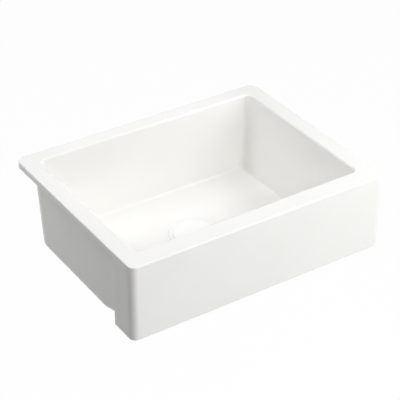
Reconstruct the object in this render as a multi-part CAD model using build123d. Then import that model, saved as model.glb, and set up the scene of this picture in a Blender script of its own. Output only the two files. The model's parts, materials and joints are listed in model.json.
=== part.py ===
from build123d import *
from math import pi
import os

# A white fireclay apron front sink with its basket strainer and waste tailpiece.
# Millimetres. +Z is up, +X runs to the right as seen from the front, +Y runs to the back.
# The origin is the middle of the ledge under the back of the rim, which rests on the cabinet.

# --- Driving sizes of the casting -------------------------------------------------------
sink_width = 610.0
sink_depth = 472.0
apron_height = 174.0
apron_return = 70.0
rim_thickness = 16.0
bowl_depth = 172.0
floor_thickness = 25.0

# widths of the rim, from its outer edge to the bowl's opening
side_rim = 37.5
front_rim = 45.5
back_rim = 35.5

# ledges under the rim, from its outer edge to the outside of the bowl
side_ledge = 17.5
back_ledge = 16.0

# how far the walls lean in between the rim and the underside
side_lean = 33.5
front_lean = 25.0
back_lean = 25.0
outside_lean = 7.5

# the underside rises in a ramp behind the apron, with a soft curve at each end
front_floor_thickness = 10.5
ramp_start = 151.0
ramp_length = 49.0
ramp_foot_radius = 60.0
ramp_head_radius = 40.0

# the floor falls to the drain
floor_fall = 1.5
floor_fall_radius = 150.0

# roundings of the casting
opening_corner_radius = 12.0
floor_corner_radius = 9.0
floor_edge_radius = 5.0
lip_radius = 5.0
rim_corner_radius = 20.0
rim_edge_radius = 2.5
rim_lower_edge_radius = 2.5
apron_corner_radius = 15.0
apron_edge_radius = 2.0
return_corner_radius = 2.5
bowl_corner_radius = 49.0
bowl_edge_radius = 10.0
ledge_cove_radius = 6.0

# --- Driving sizes of the drain, which lies a little behind the middle of the floor ------
drain_offset = 6.0
drain_hole_radius = 45.0
drain_hole_rounding = 4.0
drain_recess_depth = 4.2
drain_recess_rounding = 4.0

strainer_height = 75.0
strainer_flange_radius = 57.0
strainer_flange_thickness = 2.0
strainer_flange_fall = 2.2
strainer_flange_rounding = 0.8
strainer_thread_radius = 43.0
strainer_thread_length = 44.0
strainer_mouth_wall = 2.0
strainer_cup_wall = 4.6
strainer_seat_wall = 2.2
strainer_seat_radius = 27.5
basket_shelf_drop = 9.5
spud_radius = 23.3
spud_wall = 3.4
spud_length = 18.0
spud_shoulder = 7.7
spider_arms = 4
spider_arm_width = 4.0
spider_arm_height = 3.5
spider_hub_radius = 7.5
spider_drop = 6.5

gasket_thickness = 1.5
gasket_width = 6.0
washer_radius = 56.0
washer_thickness = 4.0
friction_ring_radius = 54.0
friction_ring_thickness = 1.6
locknut_radius = 51.0
locknut_height = 14.0
locknut_lugs = 6
locknut_lug_reach = 7.0
locknut_lug_width = 12.0
locknut_edge_rounding = 1.0

tail_radius = 19.05
tail_wall = 1.2
tail_length = 102.0
tail_flange_radius = 22.4
tail_flange_thickness = 2.0
tail_washer_thickness = 2.0
coupling_flats = 56.0
coupling_grip = 13.0
coupling_lip = 3.0
coupling_chamfer = 2.0

cover_radius = 47.5
cover_thickness = 1.6
cover_edge_rounding = 0.8
cover_foot_radius = 2.5
cover_foot_circle = 43.0
cover_feet_count = 3

basket_depth = 32.0
basket_wall = 1.0
basket_base_radius = 33.0
basket_base_rounding = 6.0
basket_slots = 24
basket_slot_width = 3.0
basket_slot_length = 15.0
basket_hole_radius = 2.0
basket_hole_circles = (16.0, 24.0)
basket_hole_pitch = 8.2

post_radius = 3.2
post_tip_length = 11.0
bush_wall = 2.0
bush_flange_radius = 8.5
bush_flange_thickness = 1.2
knob_radius = 10.0
knob_height = 9.0
knob_waist_radius = 6.0
knob_cap_height = 4.5
knob_rounding = 1.8
knob_drop = 10.5
seal_radius = 25.0
seal_thickness = 4.0
seal_bevel = 1.5
disc_radius = 19.0
disc_thickness = 1.2
post_washer_radius = 9.0
post_washer_thickness = 1.0
post_nut_flats = 10.0
post_nut_height = 5.0

# --- Broken, turned and moulded edges ---------------------------------------------------
fine_edge = 0.4
soft_edge = 1.5
cast_edge = 3.0

# --- Clearances -------------------------------------------------------------------------
running_clearance = 0.08
moving_gap = 0.3
loose_gap = 0.4
thread_gap = 0.1
slip_gap = 0.7
recess_gap = 1.2

# an edge or face is picked by its place to within this distance
pick_tolerance = 0.3

# --- Heights and places that follow from the sizes ---------------------------------------
half_width = sink_width / 2
back_y = back_ledge / 2
front_y = back_y - sink_depth
return_back_y = front_y + apron_return
rim_top_z = rim_thickness
apron_bottom_z = rim_top_z - apron_height
floor_z = rim_top_z - bowl_depth
underside_z = floor_z - floor_thickness

opening_front_y = front_y + front_rim
opening_back_y = back_y - back_rim
floor_front_y = opening_front_y + front_lean
floor_back_y = opening_back_y - back_lean
drain_y = (floor_front_y + floor_back_y) / 2 + drain_offset
drain_recess_radius = strainer_flange_radius + recess_gap
drain_rim_z = floor_z - floor_fall
seat_z = drain_rim_z - drain_recess_depth

flange_bottom_z = seat_z + gasket_thickness
flange_top_z = flange_bottom_z + strainer_flange_thickness
mouth_radius = strainer_thread_radius - strainer_mouth_wall
cup_radius = strainer_thread_radius - strainer_cup_wall
shelf_z = flange_top_z - basket_shelf_drop
thread_end_z = flange_top_z - strainer_thread_length
spud_bottom_z = flange_top_z - strainer_height
spud_top_z = spud_bottom_z + spud_length
spud_bore_radius = spud_radius - spud_wall
stopper_seat_z = spud_top_z + strainer_seat_wall
spider_top_z = stopper_seat_z - spider_drop

washer_bottom_z = underside_z - washer_thickness
friction_ring_bottom_z = washer_bottom_z - friction_ring_thickness
locknut_bottom_z = friction_ring_bottom_z - locknut_height
thread_bore_radius = strainer_thread_radius + thread_gap

tail_top_z = spud_bottom_z - tail_washer_thickness
tail_flange_bottom_z = tail_top_z - tail_flange_thickness
tail_bottom_z = tail_top_z - tail_length

cover_top_z = drain_rim_z
cover_bottom_z = cover_top_z - cover_thickness

basket_rim_z = shelf_z + moving_gap
basket_bottom_z = basket_rim_z - basket_depth
basket_floor_z = basket_bottom_z + basket_wall
basket_top_radius = cup_radius - loose_gap

seal_bottom_z = stopper_seat_z + moving_gap
seal_top_z = seal_bottom_z + seal_thickness
disc_top_z = seal_top_z + disc_thickness
post_washer_bottom_z = seal_bottom_z - post_washer_thickness
post_nut_bottom_z = post_washer_bottom_z - post_nut_height
post_bottom_z = post_nut_bottom_z - post_tip_length
knob_top_z = cover_top_z - knob_drop
knob_bottom_z = knob_top_z - knob_height
post_top_z = knob_bottom_z + knob_height / 2


# --- Helpers ------------------------------------------------------------------------------
def turned(corners):
    """Solid of revolution about the drain's axis, from (radius, height, rounding) corners."""
    points = [(radius, 0, height) for radius, height, rounding in corners]
    roundings = [rounding for radius, height, rounding in corners]
    section = make_face(FilletPolyline(*points, radius=roundings, close=True))
    return Pos(0, drain_y, 0) * revolve(section, Axis.Z)


def plain_ring(inner, outer, low, high):
    return turned([(inner, low, 0), (outer, low, 0), (outer, high, 0), (inner, high, 0)])


def plain_disc(radius, low, high):
    return Pos(0, drain_y, (low + high) / 2) * Cylinder(radius, high - low)


def around_drain(count):
    """Places turned evenly about the drain's axis."""
    return [Pos(0, drain_y, 0) * Rot(0, 0, 360 / count * i) for i in range(count)]


def upright_section(reach_x, front, back, front_radius, back_radius, height):
    """Face at a height, as wide to the left as to the right, with its corners rounded."""
    outline = FilletPolyline(
        (-reach_x, front), (reach_x, front), (reach_x, back), (-reach_x, back),
        radius=[front_radius, front_radius, back_radius, back_radius],
        close=True,
    )
    return Pos(0, 0, height) * make_face(outline)


def flange_top_at(radius):
    """Height of the strainer flange's dished top."""
    dish_width = strainer_flange_radius - strainer_thread_radius
    return flange_top_z - strainer_flange_fall * (strainer_flange_radius - radius) / dish_width


def hexagon(flats, low, high):
    """Six-sided bar on the drain's axis, with its size across the flats."""
    section = Pos(0, drain_y, low) * RegularPolygon(flats / 2, 6, major_radius=False)
    return extrude(section, high - low)


# --- The casting ---------------------------------------------------------------------------
def bowl_hollow():
    """Room inside the bowl: leaning walls, rounded corners and a rounded floor edge."""
    mouth = upright_section(
        half_width - side_rim, opening_front_y, opening_back_y,
        opening_corner_radius, opening_corner_radius, rim_top_z,
    )
    floor = upright_section(
        half_width - side_rim - side_lean, floor_front_y, floor_back_y,
        floor_corner_radius, floor_corner_radius, floor_z,
    )
    hollow = loft([floor, mouth])
    floor_edges = hollow.faces().sort_by(Axis.Z)[0].edges()
    return fillet(floor_edges, floor_edge_radius)


def bowl_shell():
    """Outside of the bowl, under the rim, with the ramp in its underside."""
    wall_x = half_width - side_ledge
    wall_y = back_y - back_ledge
    hidden_y = front_y + apron_return / 2
    top = upright_section(wall_x, hidden_y, wall_y, 0, bowl_corner_radius, rim_top_z / 2)
    base = upright_section(
        wall_x - outside_lean, hidden_y, wall_y - outside_lean, 0, bowl_corner_radius, underside_z
    )
    block = loft([base, top])
    ramp_foot_y = front_y + ramp_start
    ramp_head_y = ramp_foot_y - ramp_length
    raised_z = floor_z - front_floor_thickness
    outline = FilletPolyline(
        (wall_y, rim_top_z), (hidden_y, rim_top_z), (hidden_y, raised_z),
        (ramp_head_y, raised_z), (ramp_foot_y, underside_z), (wall_y, underside_z),
        radius=[0, 0, 0, ramp_head_radius, ramp_foot_radius, 0],
        close=True,
    )
    side_view = Plane.YZ * make_face(outline)
    shell = block & extrude(side_view, half_width, both=True)
    low_edges = shell.edges().filter_by(
        lambda edge: edge.center().Z < floor_z
        and edge.center().Y > hidden_y + pick_tolerance
        and (abs(edge.center().X) > wall_x - bowl_corner_radius or edge.center().Y > floor_back_y)
    )
    return fillet(low_edges, bowl_edge_radius)


def apron_and_rim():
    """Rim plate over the whole sink and the apron that hangs from it, with its two returns."""
    rim = extrude(
        upright_section(half_width, front_y, back_y, apron_corner_radius, rim_corner_radius, 0),
        rim_thickness,
    )
    rim = fillet(rim.faces().sort_by(Axis.Z)[0].edges(), rim_lower_edge_radius)
    apron = extrude(
        upright_section(
            half_width, front_y, return_back_y, apron_corner_radius, return_corner_radius, apron_bottom_z
        ),
        apron_height - rim_thickness / 2,
    )
    apron = fillet(apron.faces().sort_by(Axis.Z)[0].edges(), apron_edge_radius)
    return rim + apron


def drain_cutter():
    """The floor's gentle fall, the recess for the strainer flange and the drain hole."""
    fall_end = drain_recess_radius + 2 * drain_recess_rounding
    slope = TangentArc(
        (floor_fall_radius, 0, floor_z), (fall_end, 0, drain_rim_z), tangent=(-1, 0, 0)
    )
    dish = Polyline(
        (fall_end, 0, drain_rim_z), (0, 0, drain_rim_z), (0, 0, floor_z), (floor_fall_radius, 0, floor_z)
    )
    dish = Pos(0, drain_y, 0) * revolve(make_face(slope + dish), Axis.Z)
    recess = plain_disc(drain_recess_radius, seat_z, floor_z)
    hole = plain_disc(drain_hole_radius, underside_z - floor_thickness, floor_z)
    return dish + recess + hole


def sink_body():
    body = apron_and_rim() + bowl_shell()
    cove_edges = body.edges().filter_by(
        lambda edge: abs(edge.center().Z) < pick_tolerance
        and edge.center().Y > return_back_y + apron_return / 2
        and edge.center().Y < back_y - back_ledge / 2
        and abs(edge.center().X) < half_width - side_ledge / 2
    )
    body = fillet(cove_edges, ledge_cove_radius)
    body = fillet(body.faces().sort_by(Axis.Z)[-1].edges(), rim_edge_radius)
    body = body - bowl_hollow() - drain_cutter()
    lip_edges = body.edges().filter_by(
        lambda edge: abs(edge.center().Z - rim_top_z) < pick_tolerance
        and abs(edge.center().X) < half_width - side_rim / 2
        and opening_front_y - front_rim / 2 < edge.center().Y < opening_back_y + back_rim / 2
    )
    body = fillet(lip_edges, lip_radius)
    circles = body.edges().filter_by(GeomType.CIRCLE)
    hole_edge = circles.filter_by(
        lambda edge: abs(edge.radius - drain_hole_radius) < pick_tolerance
        and abs(edge.center().Z - seat_z) < pick_tolerance
    )
    body = fillet(hole_edge, drain_hole_rounding)
    recess_edge = body.edges().filter_by(GeomType.CIRCLE).filter_by(
        lambda edge: abs(edge.radius - drain_recess_radius) < pick_tolerance
        and abs(edge.center().Z - drain_rim_z) < pick_tolerance
    )
    return fillet(recess_edge, drain_recess_rounding)


# --- The strainer ---------------------------------------------------------------------------
def strainer_body():
    """Dished flange, threaded cup with a shelf for the basket, outlet spider and spud."""
    flange_end_z = flange_top_z - strainer_flange_fall
    shoulder_radius = spud_radius + spud_shoulder
    body = turned([
        (strainer_flange_radius, flange_top_z, strainer_flange_rounding),
        (strainer_flange_radius, flange_bottom_z, fine_edge),
        (strainer_thread_radius, flange_bottom_z - strainer_flange_fall, soft_edge),
        (strainer_thread_radius, thread_end_z, soft_edge),
        (shoulder_radius, spud_top_z, cast_edge),
        (spud_radius, spud_top_z, soft_edge),
        (spud_radius, spud_bottom_z, fine_edge),
        (spud_bore_radius, spud_bottom_z, fine_edge),
        (spud_bore_radius, stopper_seat_z, fine_edge),
        (strainer_seat_radius, stopper_seat_z, cast_edge),
        (cup_radius, thread_end_z, cast_edge),
        (cup_radius, shelf_z, fine_edge),
        (mouth_radius, shelf_z, fine_edge),
        (mouth_radius, flange_end_z, soft_edge),
    ])
    spider_bottom_z = spider_top_z - spider_arm_height
    spider_reach = spud_bore_radius + spud_wall / 2
    arm = Pos(spider_reach / 2, 0, (spider_top_z + spider_bottom_z) / 2)
    arm = arm * Box(spider_reach, spider_arm_width, spider_arm_height)
    spider = plain_disc(spider_hub_radius, spider_bottom_z, spider_top_z)
    spider += [place * arm for place in around_drain(spider_arms)]
    return body + spider - plain_disc(post_radius + loose_gap, spider_bottom_z, spider_top_z)


def flange_gasket():
    """Seal between the drain recess and the dished underside of the strainer flange."""
    outer = strainer_flange_radius - loose_gap
    inner = outer - gasket_width
    outer_top = flange_top_at(outer) - strainer_flange_thickness
    inner_top = flange_top_at(inner) - strainer_flange_thickness
    return turned([(inner, seat_z, 0), (outer, seat_z, 0), (outer, outer_top, 0), (inner, inner_top, 0)])


def locknut():
    """Large nut with lugs, which clamps the strainer against the underside of the bowl."""
    lug_middle = locknut_radius + (locknut_lug_reach - locknut_lug_width) / 2
    lug_length = locknut_lug_reach + locknut_lug_width
    lug = Pos(lug_middle, 0, locknut_bottom_z + locknut_height / 2)
    lug = lug * Box(lug_length, locknut_lug_width, locknut_height)
    lug = fillet(lug.edges().filter_by(Axis.Z), locknut_edge_rounding)
    nut = plain_disc(locknut_radius, locknut_bottom_z, friction_ring_bottom_z)
    nut += [place * lug for place in around_drain(locknut_lugs)]
    rims = nut.faces().sort_by(Axis.Z)
    nut = chamfer(rims[0].edges() + rims[-1].edges(), locknut_edge_rounding)
    return nut - plain_disc(thread_bore_radius, locknut_bottom_z, friction_ring_bottom_z)


# --- The waste ------------------------------------------------------------------------------
def tailpiece():
    """Waste tube with a flange at its top that the coupling nut pulls against the spud."""
    bore = tail_radius - tail_wall
    return turned([
        (bore, tail_top_z, soft_edge),
        (tail_flange_radius, tail_top_z, fine_edge),
        (tail_flange_radius, tail_flange_bottom_z, fine_edge),
        (tail_radius, tail_flange_bottom_z, fine_edge),
        (tail_radius, tail_bottom_z, fine_edge),
        (bore, tail_bottom_z, fine_edge),
    ])


def coupling_nut():
    """Slip nut: six flats, turned corners, and a lip under the tailpiece's flange."""
    nut_bottom_z = tail_flange_bottom_z - coupling_lip
    nut_top_z = spud_bottom_z + coupling_grip
    corner = coupling_flats / 3 ** 0.5
    outside = turned([
        (0, nut_bottom_z, 0),
        (corner - coupling_chamfer, nut_bottom_z, 0),
        (corner, nut_bottom_z + coupling_chamfer, 0),
        (corner, nut_top_z - coupling_chamfer, 0),
        (corner - coupling_chamfer, nut_top_z, 0),
        (0, nut_top_z, 0),
    ])
    nut = outside & hexagon(coupling_flats, nut_bottom_z, nut_top_z)
    nut -= plain_disc(spud_radius + thread_gap, tail_flange_bottom_z, nut_top_z)
    return nut - plain_disc(tail_radius + slip_gap, nut_bottom_z, tail_flange_bottom_z)


# --- The basket and its stopper -------------------------------------------------------------
def basket():
    """Thin cup with a rim that hangs on the strainer's shelf, slotted sides and a drilled base."""
    rim_radius = mouth_radius - loose_gap
    rim_thick_z = basket_rim_z + basket_wall
    hub_radius = post_radius + bush_wall
    cup = turned([
        (hub_radius, basket_bottom_z, 0),
        (basket_base_radius, basket_bottom_z, basket_base_rounding),
        (basket_top_radius, basket_rim_z, 0),
        (rim_radius, basket_rim_z, fine_edge),
        (rim_radius, rim_thick_z, fine_edge),
        (basket_top_radius - basket_wall, rim_thick_z, fine_edge),
        (basket_base_radius - basket_wall, basket_floor_z, basket_base_rounding - basket_wall),
        (hub_radius, basket_floor_z, 0),
    ])
    slot_z = (basket_bottom_z + basket_rim_z) / 2
    slot = Plane.YZ * SlotOverall(basket_slot_length, basket_slot_width, rotation=90)
    slot = Pos(basket_base_radius / 2, 0, slot_z) * extrude(slot, rim_radius)
    cutters = [place * slot for place in around_drain(basket_slots)]
    for circle in basket_hole_circles:
        hole = Pos(circle, 0, basket_bottom_z) * Cylinder(basket_hole_radius, 4 * basket_wall)
        cutters += [place * hole for place in around_drain(int(2 * pi * circle / basket_hole_pitch))]
    return cup - cutters


def basket_bush():
    """Guide in the basket's hub, with a flange on each side of its floor."""
    hub_radius = post_radius + bush_wall
    bush = plain_disc(hub_radius, basket_bottom_z, basket_floor_z)
    bush += plain_disc(bush_flange_radius, basket_floor_z, basket_floor_z + bush_flange_thickness)
    bush += plain_disc(bush_flange_radius, basket_bottom_z - bush_flange_thickness, basket_bottom_z)
    bore = plain_disc(
        post_radius + running_clearance,
        basket_bottom_z - bush_flange_thickness, basket_floor_z + bush_flange_thickness,
    )
    return bush - bore


def stopper_post():
    """Post from inside the knob down to its tip, which the spider guides."""
    return turned([
        (0, post_bottom_z, 0),
        (post_radius, post_bottom_z, soft_edge),
        (post_radius, post_top_z, 0),
        (0, post_top_z, 0),
    ])


def stopper_knob():
    """Mushroom knob with a blind hole for the post."""
    cap_z = knob_top_z - knob_cap_height
    knob = turned([
        (0, knob_bottom_z, 0),
        (knob_waist_radius, knob_bottom_z, fine_edge),
        (knob_waist_radius, cap_z, soft_edge),
        (knob_radius, cap_z, knob_rounding),
        (knob_radius, knob_top_z, knob_rounding),
        (0, knob_top_z, 0),
    ])
    return knob - plain_disc(post_radius, knob_bottom_z, post_top_z)


def stopper_seal():
    """Rubber disc with a bevel that beds on the cup's seat."""
    return turned([
        (post_radius, seal_bottom_z, 0),
        (seal_radius - seal_bevel, seal_bottom_z, 0),
        (seal_radius, seal_bottom_z + seal_bevel, 0),
        (seal_radius, seal_top_z, fine_edge),
        (post_radius, seal_top_z, 0),
    ])


def post_nut():
    nut = hexagon(post_nut_flats, post_nut_bottom_z, post_washer_bottom_z)
    return nut - plain_disc(post_radius, post_nut_bottom_z, post_washer_bottom_z)


# --- The cover ------------------------------------------------------------------------------
def drain_cover():
    """Plain round cover that lies level with the rim of the drain's recess."""
    return turned([
        (0, cover_bottom_z, 0),
        (cover_radius, cover_bottom_z, fine_edge),
        (cover_radius, cover_top_z, cover_edge_rounding),
        (0, cover_top_z, 0),
    ])


def cover_feet():
    """Feet under the cover that stand on the strainer's dished flange and let the water pass."""
    foot_bottom_z = flange_top_at(cover_foot_circle + cover_foot_radius) + moving_gap
    foot = Pos(cover_foot_circle, 0, (foot_bottom_z + cover_bottom_z) / 2)
    foot = foot * Cylinder(cover_foot_radius, cover_bottom_z - foot_bottom_z)
    return Compound([place * foot for place in around_drain(cover_feet_count)])


nodes = {
    "sink_body": sink_body(),
    "strainer_body": strainer_body(),
    "flange_gasket": flange_gasket(),
    "rubber_washer": plain_ring(thread_bore_radius, washer_radius, washer_bottom_z, underside_z),
    "friction_ring": plain_ring(
        thread_bore_radius, friction_ring_radius, friction_ring_bottom_z, washer_bottom_z
    ),
    "locknut": locknut(),
    "tailpiece_washer": plain_ring(spud_bore_radius, tail_flange_radius, tail_top_z, spud_bottom_z),
    "tailpiece": tailpiece(),
    "coupling_nut": coupling_nut(),
    "basket": basket(),
    "basket_bush": basket_bush(),
    "stopper_post": stopper_post(),
    "stopper_knob": stopper_knob(),
    "stopper_disc": plain_ring(post_radius, disc_radius, seal_top_z, disc_top_z),
    "stopper_seal": stopper_seal(),
    "post_washer": plain_ring(post_radius, post_washer_radius, post_washer_bottom_z, seal_bottom_z),
    "post_nut": post_nut(),
    "drain_cover": drain_cover(),
    "cover_feet": cover_feet(),
}

os.makedirs("parts", exist_ok=True)
for name, solid in nodes.items():
    export_step(solid, f"parts/{name}.step")
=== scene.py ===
import json
from math import cos, pi, sin, tau

import bmesh
import bpy
from mathutils import Matrix, Vector


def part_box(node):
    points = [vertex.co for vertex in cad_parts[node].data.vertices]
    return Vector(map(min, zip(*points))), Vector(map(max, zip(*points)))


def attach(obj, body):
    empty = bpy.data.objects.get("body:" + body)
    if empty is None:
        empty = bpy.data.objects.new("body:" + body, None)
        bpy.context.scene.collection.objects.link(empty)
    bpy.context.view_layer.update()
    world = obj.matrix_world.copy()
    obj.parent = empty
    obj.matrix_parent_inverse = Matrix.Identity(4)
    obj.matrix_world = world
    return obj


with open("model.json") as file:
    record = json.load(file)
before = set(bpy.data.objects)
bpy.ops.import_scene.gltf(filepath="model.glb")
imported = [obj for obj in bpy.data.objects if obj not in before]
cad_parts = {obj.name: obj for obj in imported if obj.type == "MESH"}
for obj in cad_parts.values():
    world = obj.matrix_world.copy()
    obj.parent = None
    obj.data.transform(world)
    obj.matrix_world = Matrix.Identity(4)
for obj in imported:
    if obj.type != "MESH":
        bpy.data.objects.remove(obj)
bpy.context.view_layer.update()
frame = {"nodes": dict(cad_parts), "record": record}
nodes = frame["nodes"]
scene = bpy.context.scene

# The drain's axis, in the row frame.
DRAIN_LOW, DRAIN_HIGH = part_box("strainer_body")
DRAIN_X = (DRAIN_LOW.x + DRAIN_HIGH.x) / 2
DRAIN_Y = (DRAIN_LOW.y + DRAIN_HIGH.y) / 2


# --- Camera ---------------------------------------------------------------------------------
CAMERA_PLACE = (-1.37288, -2.30686, 1.56599)
CAMERA_YAW = -0.585270
CAMERA_PITCH = 0.580038
CAMERA_ROLL = 0.0054746
FOCAL_PIXELS = 1409.164
IMAGE_PIXELS = 400
SENSOR_MM = 36.0

camera_data = bpy.data.cameras.new("camera")
camera_data.sensor_width = SENSOR_MM
camera_data.lens = FOCAL_PIXELS / IMAGE_PIXELS * SENSOR_MM
camera_data.clip_end = 50.0
camera = bpy.data.objects.new("camera", camera_data)
scene.collection.objects.link(camera)
turn = Matrix.Rotation(CAMERA_YAW, 4, "Z") @ Matrix.Rotation(pi / 2 - CAMERA_PITCH, 4, "X")
turn = turn @ Matrix.Rotation(CAMERA_ROLL, 4, "Z")
camera.matrix_world = Matrix.Translation(CAMERA_PLACE) @ turn
scene.camera = camera
scene.view_settings.view_transform = "Standard"


# --- Node helpers ---------------------------------------------------------------------------
class Graph:
    """Short calls for building one material's nodes."""

    def __init__(self, name):
        self.material = bpy.data.materials.new(name)
        self.material.use_nodes = True
        self.tree = self.material.node_tree
        self.tree.nodes.clear()
        self.output = self.tree.nodes.new("ShaderNodeOutputMaterial")
        self.shader = self.tree.nodes.new("ShaderNodeBsdfPrincipled")
        self.link(self.shader.outputs[0], self.output.inputs["Surface"])
        self.place = self.tree.nodes.new("ShaderNodeTexCoord").outputs["Object"]

    def link(self, source, target):
        self.tree.links.new(source, target)

    def put(self, target, value):
        if isinstance(value, bpy.types.NodeSocket):
            self.link(value, target)
        else:
            target.default_value = value

    def noise(self, scale, detail=2.0, roughness=0.5, place=None):
        node = self.tree.nodes.new("ShaderNodeTexNoise")
        self.link(place or self.place, node.inputs["Vector"])
        node.inputs["Scale"].default_value = scale
        node.inputs["Detail"].default_value = detail
        node.inputs["Roughness"].default_value = roughness
        return node.outputs["Fac"]

    def stretched(self, scales):
        node = self.tree.nodes.new("ShaderNodeMapping")
        self.link(self.place, node.inputs["Vector"])
        node.inputs["Scale"].default_value = scales
        return node.outputs["Vector"]

    def band(self, value, low, high, to_low=0.0, to_high=1.0):
        """Straight ramp of a value, clamped at both ends."""
        node = self.tree.nodes.new("ShaderNodeMapRange")
        self.put(node.inputs["Value"], value)
        node.inputs["From Min"].default_value = low
        node.inputs["From Max"].default_value = high
        node.inputs["To Min"].default_value = to_low
        node.inputs["To Max"].default_value = to_high
        return node.outputs["Result"]

    def math(self, operation, first, second):
        node = self.tree.nodes.new("ShaderNodeMath")
        node.operation = operation
        self.put(node.inputs[0], first)
        self.put(node.inputs[1], second)
        return node.outputs[0]

    def mix(self, amount, first, second):
        node = self.tree.nodes.new("ShaderNodeMix")
        node.data_type = "RGBA"
        self.put(node.inputs["Factor"], amount)
        self.put(node.inputs["A"], first)
        self.put(node.inputs["B"], second)
        return node.outputs["Result"]

    def bump(self, height, distance, strength=1.0, below=None):
        node = self.tree.nodes.new("ShaderNodeBump")
        self.link(height, node.inputs["Height"])
        node.inputs["Distance"].default_value = distance
        node.inputs["Strength"].default_value = strength
        if below is not None:
            self.link(below, node.inputs["Normal"])
        return node.outputs["Normal"]

    def axis(self, socket, name):
        node = self.tree.nodes.new("ShaderNodeSeparateXYZ")
        self.link(socket, node.inputs[0])
        return node.outputs[name]

    def normal(self):
        return self.tree.nodes.new("ShaderNodeNewGeometry").outputs["Normal"]

    def set(self, **values):
        for key, value in values.items():
            self.put(self.shader.inputs[key.replace("_", " ")], value)


def rgb(red, green, blue):
    return (red, green, blue, 1.0)


# --- Materials ------------------------------------------------------------------------------
def glaze():
    """Gloss white glaze on fireclay, with the bare clay of the underside."""
    g = Graph("glaze")
    cloud = g.noise(7.0, detail=3.0)
    white = g.mix(g.band(cloud, 0.35, 0.65), rgb(0.874, 0.870, 0.849), rgb(0.890, 0.886, 0.866))
    speck = g.band(g.noise(1100.0, detail=1.0), 0.735, 0.78)
    white = g.mix(g.math("MULTIPLY", speck, 0.22), white, rgb(0.62, 0.59, 0.53))

    clay_cloud = g.noise(45.0, detail=4.0, roughness=0.6)
    clay_grain = g.noise(1500.0, detail=2.0)
    clay = g.mix(g.band(clay_cloud, 0.3, 0.7), rgb(0.60, 0.52, 0.42), rgb(0.69, 0.62, 0.52))
    clay = g.mix(g.band(clay_grain, 0.55, 0.75, 0.0, 0.5), clay, rgb(0.45, 0.36, 0.27))

    down = g.band(g.axis(g.normal(), "Z"), -0.80, -0.92)
    height = g.math("ADD", g.axis(g.place, "Z"), g.band(g.noise(120.0), 0.3, 0.7, -0.0015, 0.0015))
    low = g.band(height, -0.150, -0.1525)
    bare = g.math("MULTIPLY", down, low)

    wave = g.noise(38.0, detail=1.0)
    peel = g.noise(420.0, detail=1.0)
    bump = g.bump(wave, 0.0005, 0.30)
    bump = g.bump(peel, 0.00003, 0.5, below=bump)
    grit = g.math("MULTIPLY", clay_grain, bare)
    bump = g.bump(grit, 0.0005, 1.0, below=bump)
    gloss = g.band(g.noise(55.0, detail=3.0), 0.3, 0.7, 0.13, 0.20)
    g.set(
        Base_Color=g.mix(bare, white, clay),
        Roughness=g.math("ADD", gloss, g.math("MULTIPLY", bare, 0.7)),
        IOR=1.5,
        Normal=bump,
    )
    return g.material


def white_coat(name, dark, light):
    """Baked white coat on metal."""
    g = Graph(name)
    cloud = g.band(g.noise(60.0, detail=2.0), 0.3, 0.7)
    g.set(
        Base_Color=g.mix(cloud, dark, light),
        Roughness=g.band(g.noise(300.0, detail=2.0), 0.3, 0.7, 0.16, 0.24),
        IOR=1.5,
        Normal=g.bump(g.noise(900.0, detail=1.0), 0.00002, 0.6),
    )
    return g.material


def black_rubber():
    """Moulded rubber with a little bloom."""
    g = Graph("black_rubber")
    bloom = g.band(g.noise(140.0, detail=4.0, roughness=0.65), 0.45, 0.75)
    g.set(
        Base_Color=g.mix(bloom, rgb(0.018, 0.018, 0.019), rgb(0.055, 0.054, 0.052)),
        Roughness=g.band(g.noise(500.0, detail=2.0), 0.3, 0.7, 0.52, 0.70),
        Normal=g.bump(g.noise(1400.0, detail=2.0), 0.00006, 0.7),
    )
    return g.material


def white_rubber():
    """Moulded white rubber."""
    g = Graph("white_rubber")
    cloud = g.band(g.noise(110.0, detail=3.0), 0.35, 0.7)
    g.set(
        Base_Color=g.mix(cloud, rgb(0.80, 0.80, 0.78), rgb(0.85, 0.85, 0.83)),
        Roughness=g.band(g.noise(500.0, detail=2.0), 0.3, 0.7, 0.50, 0.62),
        Normal=g.bump(g.noise(1400.0, detail=2.0), 0.00004, 0.6),
    )
    return g.material


def fibre():
    """Pressed fibre board."""
    g = Graph("fibre")
    strands = g.noise(900.0, detail=4.0, roughness=0.7, place=g.stretched((1.0, 1.0, 4.0)))
    g.set(
        Base_Color=g.mix(g.band(strands, 0.35, 0.65), rgb(0.20, 0.12, 0.07), rgb(0.36, 0.24, 0.15)),
        Roughness=0.85,
        Normal=g.bump(strands, 0.0001, 0.8),
    )
    return g.material


def metal(name, dark, light, low, high, grain, depth, stretch=(1.0, 1.0, 1.0)):
    """Bare metal whose tone, roughness and surface follow one grain."""
    g = Graph(name)
    fine = g.noise(grain, detail=3.0, roughness=0.6, place=g.stretched(stretch))
    cloud = g.band(g.noise(40.0, detail=2.0), 0.3, 0.7)
    tone = g.mix(g.band(fine, 0.3, 0.7), dark, light)
    g.set(
        Base_Color=g.mix(g.math("MULTIPLY", cloud, 0.25), tone, dark),
        Metallic=1.0,
        Roughness=g.band(fine, 0.3, 0.7, low, high),
        Normal=g.bump(fine, depth, 0.6),
    )
    return g.material


def white_nylon():
    """Moulded nylon that lets a little light in."""
    g = Graph("white_nylon")
    cloud = g.band(g.noise(90.0, detail=2.0), 0.3, 0.7)
    g.set(
        Base_Color=g.mix(cloud, rgb(0.74, 0.73, 0.69), rgb(0.80, 0.79, 0.76)),
        Roughness=g.band(g.noise(700.0, detail=2.0), 0.3, 0.7, 0.38, 0.50),
        Subsurface_Weight=0.15,
        Subsurface_Scale=0.002,
        Normal=g.bump(g.noise(1200.0, detail=1.0), 0.00004, 0.6),
    )
    return g.material


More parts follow.
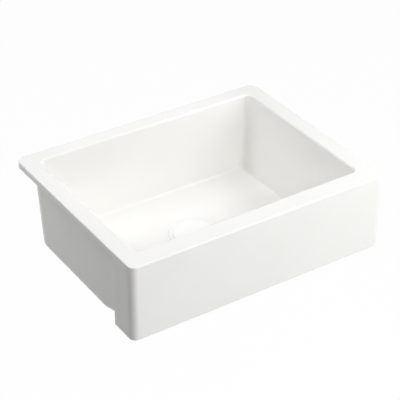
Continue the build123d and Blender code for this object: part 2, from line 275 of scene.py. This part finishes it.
MATERIALS = {
    "glaze": glaze(),
    "white_coat": white_coat("white_coat", rgb(0.915, 0.915, 0.910), rgb(0.930, 0.930, 0.925)),
    "black_rubber": black_rubber(),
    "white_rubber": white_rubber(),
    "fibre": fibre(),
    "cast_brass": metal(
        "cast_brass", rgb(0.42, 0.31, 0.13), rgb(0.56, 0.43, 0.20), 0.34, 0.52, 700.0, 0.00008
    ),
    "chrome_plate": metal(
        "chrome_plate", rgb(0.70, 0.71, 0.73), rgb(0.76, 0.77, 0.79), 0.05, 0.10, 260.0, 0.00001
    ),
    "stainless": metal(
        "stainless", rgb(0.50, 0.50, 0.49), rgb(0.62, 0.62, 0.61), 0.20, 0.34, 500.0, 0.00002,
        stretch=(1.0, 1.0, 12.0),
    ),
    "white_nylon": white_nylon(),
}

# Painted shade: the strainer gets a greyer copy of the cover's white coat, which darkens the ring round the
# drain.
PAINTED_SHADE_MATERIALS = {
    "strainer_body": white_coat("strainer_coat_painted_shade", rgb(0.868, 0.868, 0.864), rgb(0.886, 0.886, 0.882)),
}

for entry in frame["record"]["subparts"]:
    mesh = nodes[entry["node"]].data
    if not mesh.materials:
        mesh.materials.append(None)
    for index in range(len(mesh.materials)):
        mesh.materials[index] = PAINTED_SHADE_MATERIALS.get(entry["node"], MATERIALS[entry["material_slot"]])


# --- Pieces round the drain's axis ----------------------------------------------------------
def around_drain(radius, angle, height):
    """Point at a radius and an angle round the drain's axis."""
    return (DRAIN_X + radius * cos(angle), DRAIN_Y + radius * sin(angle), height)


def add_piece(name, mesh, body, slot):
    """Object made from a finished mesh, which rides on a body and takes a slot's material."""
    bmesh.ops.recalc_face_normals(mesh, faces=mesh.faces)
    data = bpy.data.meshes.new(name)
    mesh.to_mesh(data)
    mesh.free()
    piece = bpy.data.objects.new(name, data)
    scene.collection.objects.link(piece)
    data.materials.append(MATERIALS[slot])
    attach(piece, body)


THREAD_STEPS_PER_TURN = 96
THREAD_RUN_OUT_STEPS = 16
# half widths of the ridge in shares of the pitch: at its crest, at the core and inside the core
RIDGE_CREST = 0.10
RIDGE_FOOT = 0.40
RIDGE_ROOT = 0.46


def thread(name, radius, depth, pitch, low, high, body, slot):
    """Ridge of a screw thread wound round the drain's axis; its ends run out to nothing."""
    count = int((high - low - pitch) / pitch * THREAD_STEPS_PER_TURN)
    mesh = bmesh.new()
    rows = []
    for step in range(count + 1):
        angle = tau * step / THREAD_STEPS_PER_TURN
        middle = low + pitch / 2 + pitch * step / THREAD_STEPS_PER_TURN
        run_out = min(1.0, step / THREAD_RUN_OUT_STEPS, (count - step) / THREAD_RUN_OUT_STEPS)
        crest = radius + depth * run_out
        inside = radius - depth / 2
        corners = (
            (inside, -RIDGE_ROOT), (radius, -RIDGE_FOOT), (crest, -RIDGE_CREST),
            (crest, RIDGE_CREST), (radius, RIDGE_FOOT), (inside, RIDGE_ROOT),
        )
        rows.append([
            mesh.verts.new(around_drain(reach, angle, middle + pitch * along)) for reach, along in corners
        ])
    for first, second in zip(rows, rows[1:]):
        for a in range(len(first)):
            b = (a + 1) % len(first)
            mesh.faces.new((first[a], second[a], second[b], first[b]))
    mesh.faces.new(rows[0])
    mesh.faces.new(list(reversed(rows[-1])))
    add_piece(name, mesh, body, slot)


SPUD_RADIUS = 0.0233
SPUD_LENGTH = 0.018
THREAD_DEPTH = 0.0006
THREAD_PITCH = 0.0022
nut_low, nut_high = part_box("coupling_nut")
thread_top = DRAIN_LOW.z + SPUD_LENGTH - THREAD_PITCH / 2
thread("spud_thread", SPUD_RADIUS, THREAD_DEPTH, THREAD_PITCH, nut_high.z, thread_top, "sink", "white_coat")


SEALANT_STEPS = 144


def sealant(name, section, body, slot):
    """Bead wiped into the groove round the strainer's flange, from (radius, height) corners."""
    mesh = bmesh.new()
    rings = []
    for radius, height in section:
        rings.append([
            mesh.verts.new(around_drain(radius, tau * step / SEALANT_STEPS, height))
            for step in range(SEALANT_STEPS)
        ])
    for first, second in zip(rings, rings[1:] + rings[:1]):
        for a in range(SEALANT_STEPS):
            b = (a + 1) % SEALANT_STEPS
            mesh.faces.new((first[a], first[b], second[b], second[a]))
    for face in mesh.faces:
        face.smooth = True
    add_piece(name, mesh, body, slot)


FLANGE_RADIUS = (DRAIN_HIGH.x - DRAIN_LOW.x) / 2
# the bead's section: how far out from the flange's edge, and how high above the flange's top
BEAD = (
    (0.00005, -0.0034), (0.00005, -0.0011), (0.0004, -0.0012), (0.0009, -0.00122), (0.0014, -0.0011),
    (0.0019, -0.0008), (0.0019, -0.0012), (0.0013, -0.0024), (0.0011, -0.0034),
)
bead_section = [(FLANGE_RADIUS + out, DRAIN_HIGH.z + up) for out, up in BEAD]
sealant("flange_sealant", bead_section, "sink", "white_rubber")


# --- Stage and light ------------------------------------------------------------------------
FLOOR_Z = -0.90
FLOOR_HALF = 12.0
BACKGROUND_SHARE = 0.98
FLOOR_LIT = (0.62, 0.62, 0.61, 1.0)
FLOOR_SEEN = (1.0, 1.0, 1.0, 1.0)


def seen_directly(tree):
    """1 for rays from the camera and for what metal and glass show, 0 for light that bounces."""
    path = tree.nodes.new("ShaderNodeLightPath")
    total = path.outputs["Is Camera Ray"]
    for name in ("Is Glossy Ray", "Is Transmission Ray"):
        most = tree.nodes.new("ShaderNodeMath")
        most.operation = "MAXIMUM"
        tree.links.new(total, most.inputs[0])
        tree.links.new(path.outputs[name], most.inputs[1])
        total = most.outputs[0]
    return total


def floor_material():
    """Pale floor; the camera sees it nearly white, with the object's shadow on it."""
    material = bpy.data.materials.new("floor")
    material.use_nodes = True
    tree = material.node_tree
    tree.nodes.clear()
    output = tree.nodes.new("ShaderNodeOutputMaterial")
    plain = tree.nodes.new("ShaderNodeBsdfDiffuse")
    seen = seen_directly(tree)
    colour = tree.nodes.new("ShaderNodeMix")
    colour.data_type = "RGBA"
    colour.inputs["A"].default_value = FLOOR_LIT
    colour.inputs["B"].default_value = FLOOR_SEEN
    tree.links.new(seen, colour.inputs["Factor"])
    tree.links.new(colour.outputs["Result"], plain.inputs["Color"])
    white = tree.nodes.new("ShaderNodeEmission")
    white.inputs["Color"].default_value = rgb(1.0, 1.0, 1.0)
    white.inputs["Strength"].default_value = 1.0
    share = tree.nodes.new("ShaderNodeMath")
    share.operation = "MULTIPLY"
    tree.links.new(seen, share.inputs[0])
    share.inputs[1].default_value = BACKGROUND_SHARE
    mixed = tree.nodes.new("ShaderNodeMixShader")
    tree.links.new(share.outputs[0], mixed.inputs[0])
    tree.links.new(plain.outputs[0], mixed.inputs[1])
    tree.links.new(white.outputs[0], mixed.inputs[2])
    tree.links.new(mixed.outputs[0], output.inputs["Surface"])
    return material


floor_mesh = bmesh.new()
bmesh.ops.create_grid(floor_mesh, x_segments=1, y_segments=1, size=FLOOR_HALF)
floor_data = bpy.data.meshes.new("floor")
floor_mesh.to_mesh(floor_data)
floor_mesh.free()
floor_data.materials.append(floor_material())
floor = bpy.data.objects.new("floor", floor_data)
floor.location = (0.0, 0.0, FLOOR_Z)
scene.collection.objects.link(floor)

WORLD_LIGHT = 0.05
world = bpy.data.worlds.new("studio")
world.use_nodes = True
scene.world = world
tree = world.node_tree
tree.nodes.clear()
background = tree.nodes.new("ShaderNodeBackground")
background.inputs["Color"].default_value = rgb(1.0, 1.0, 1.0)
strength = tree.nodes.new("ShaderNodeMapRange")
tree.links.new(seen_directly(tree), strength.inputs["Value"])
strength.inputs["To Min"].default_value = WORLD_LIGHT
strength.inputs["To Max"].default_value = 1.0
tree.links.new(strength.outputs["Result"], background.inputs["Strength"])
world_output = tree.nodes.new("ShaderNodeOutputWorld")
tree.links.new(background.outputs[0], world_output.inputs["Surface"])


# name, place, side of the square, watts
SOFTBOXES = (
    ("front_high", (-0.2, -2.2, 1.8), 1.2, 36.2),
    ("front_low", (0.8, -2.6, -0.2), 1.0, 14.0),
    ("front_right", (1.0, -1.2, 0.5), 0.6, 5.9),
    ("right_high", (1.4, -0.2, 1.6), 0.8, 12.7),
    ("over", (0.1, -0.35, 1.6), 0.9, 3.2),
    ("back_left_high", (-1.2, 0.6, 1.6), 0.8, 11.9),
    ("back_left", (-0.9, 0.5, 0.5), 0.5, 2.4),
    ("back_gleam", (0.82, 1.37, 0.95), 0.6, 0.8),
)
LAMP_AIM = Vector((0.0, -0.22, -0.05))


def softbox(name, place, side, watts):
    data = bpy.data.lights.new(name, "AREA")
    data.shape = "SQUARE"
    data.size = side
    data.energy = watts
    lamp = bpy.data.objects.new(name, data)
    lamp.location = place
    lamp.rotation_euler = (LAMP_AIM - Vector(place)).to_track_quat("-Z", "Y").to_euler()
    scene.collection.objects.link(lamp)


for name, place, side, watts in SOFTBOXES:
    softbox(name, place, side, watts)
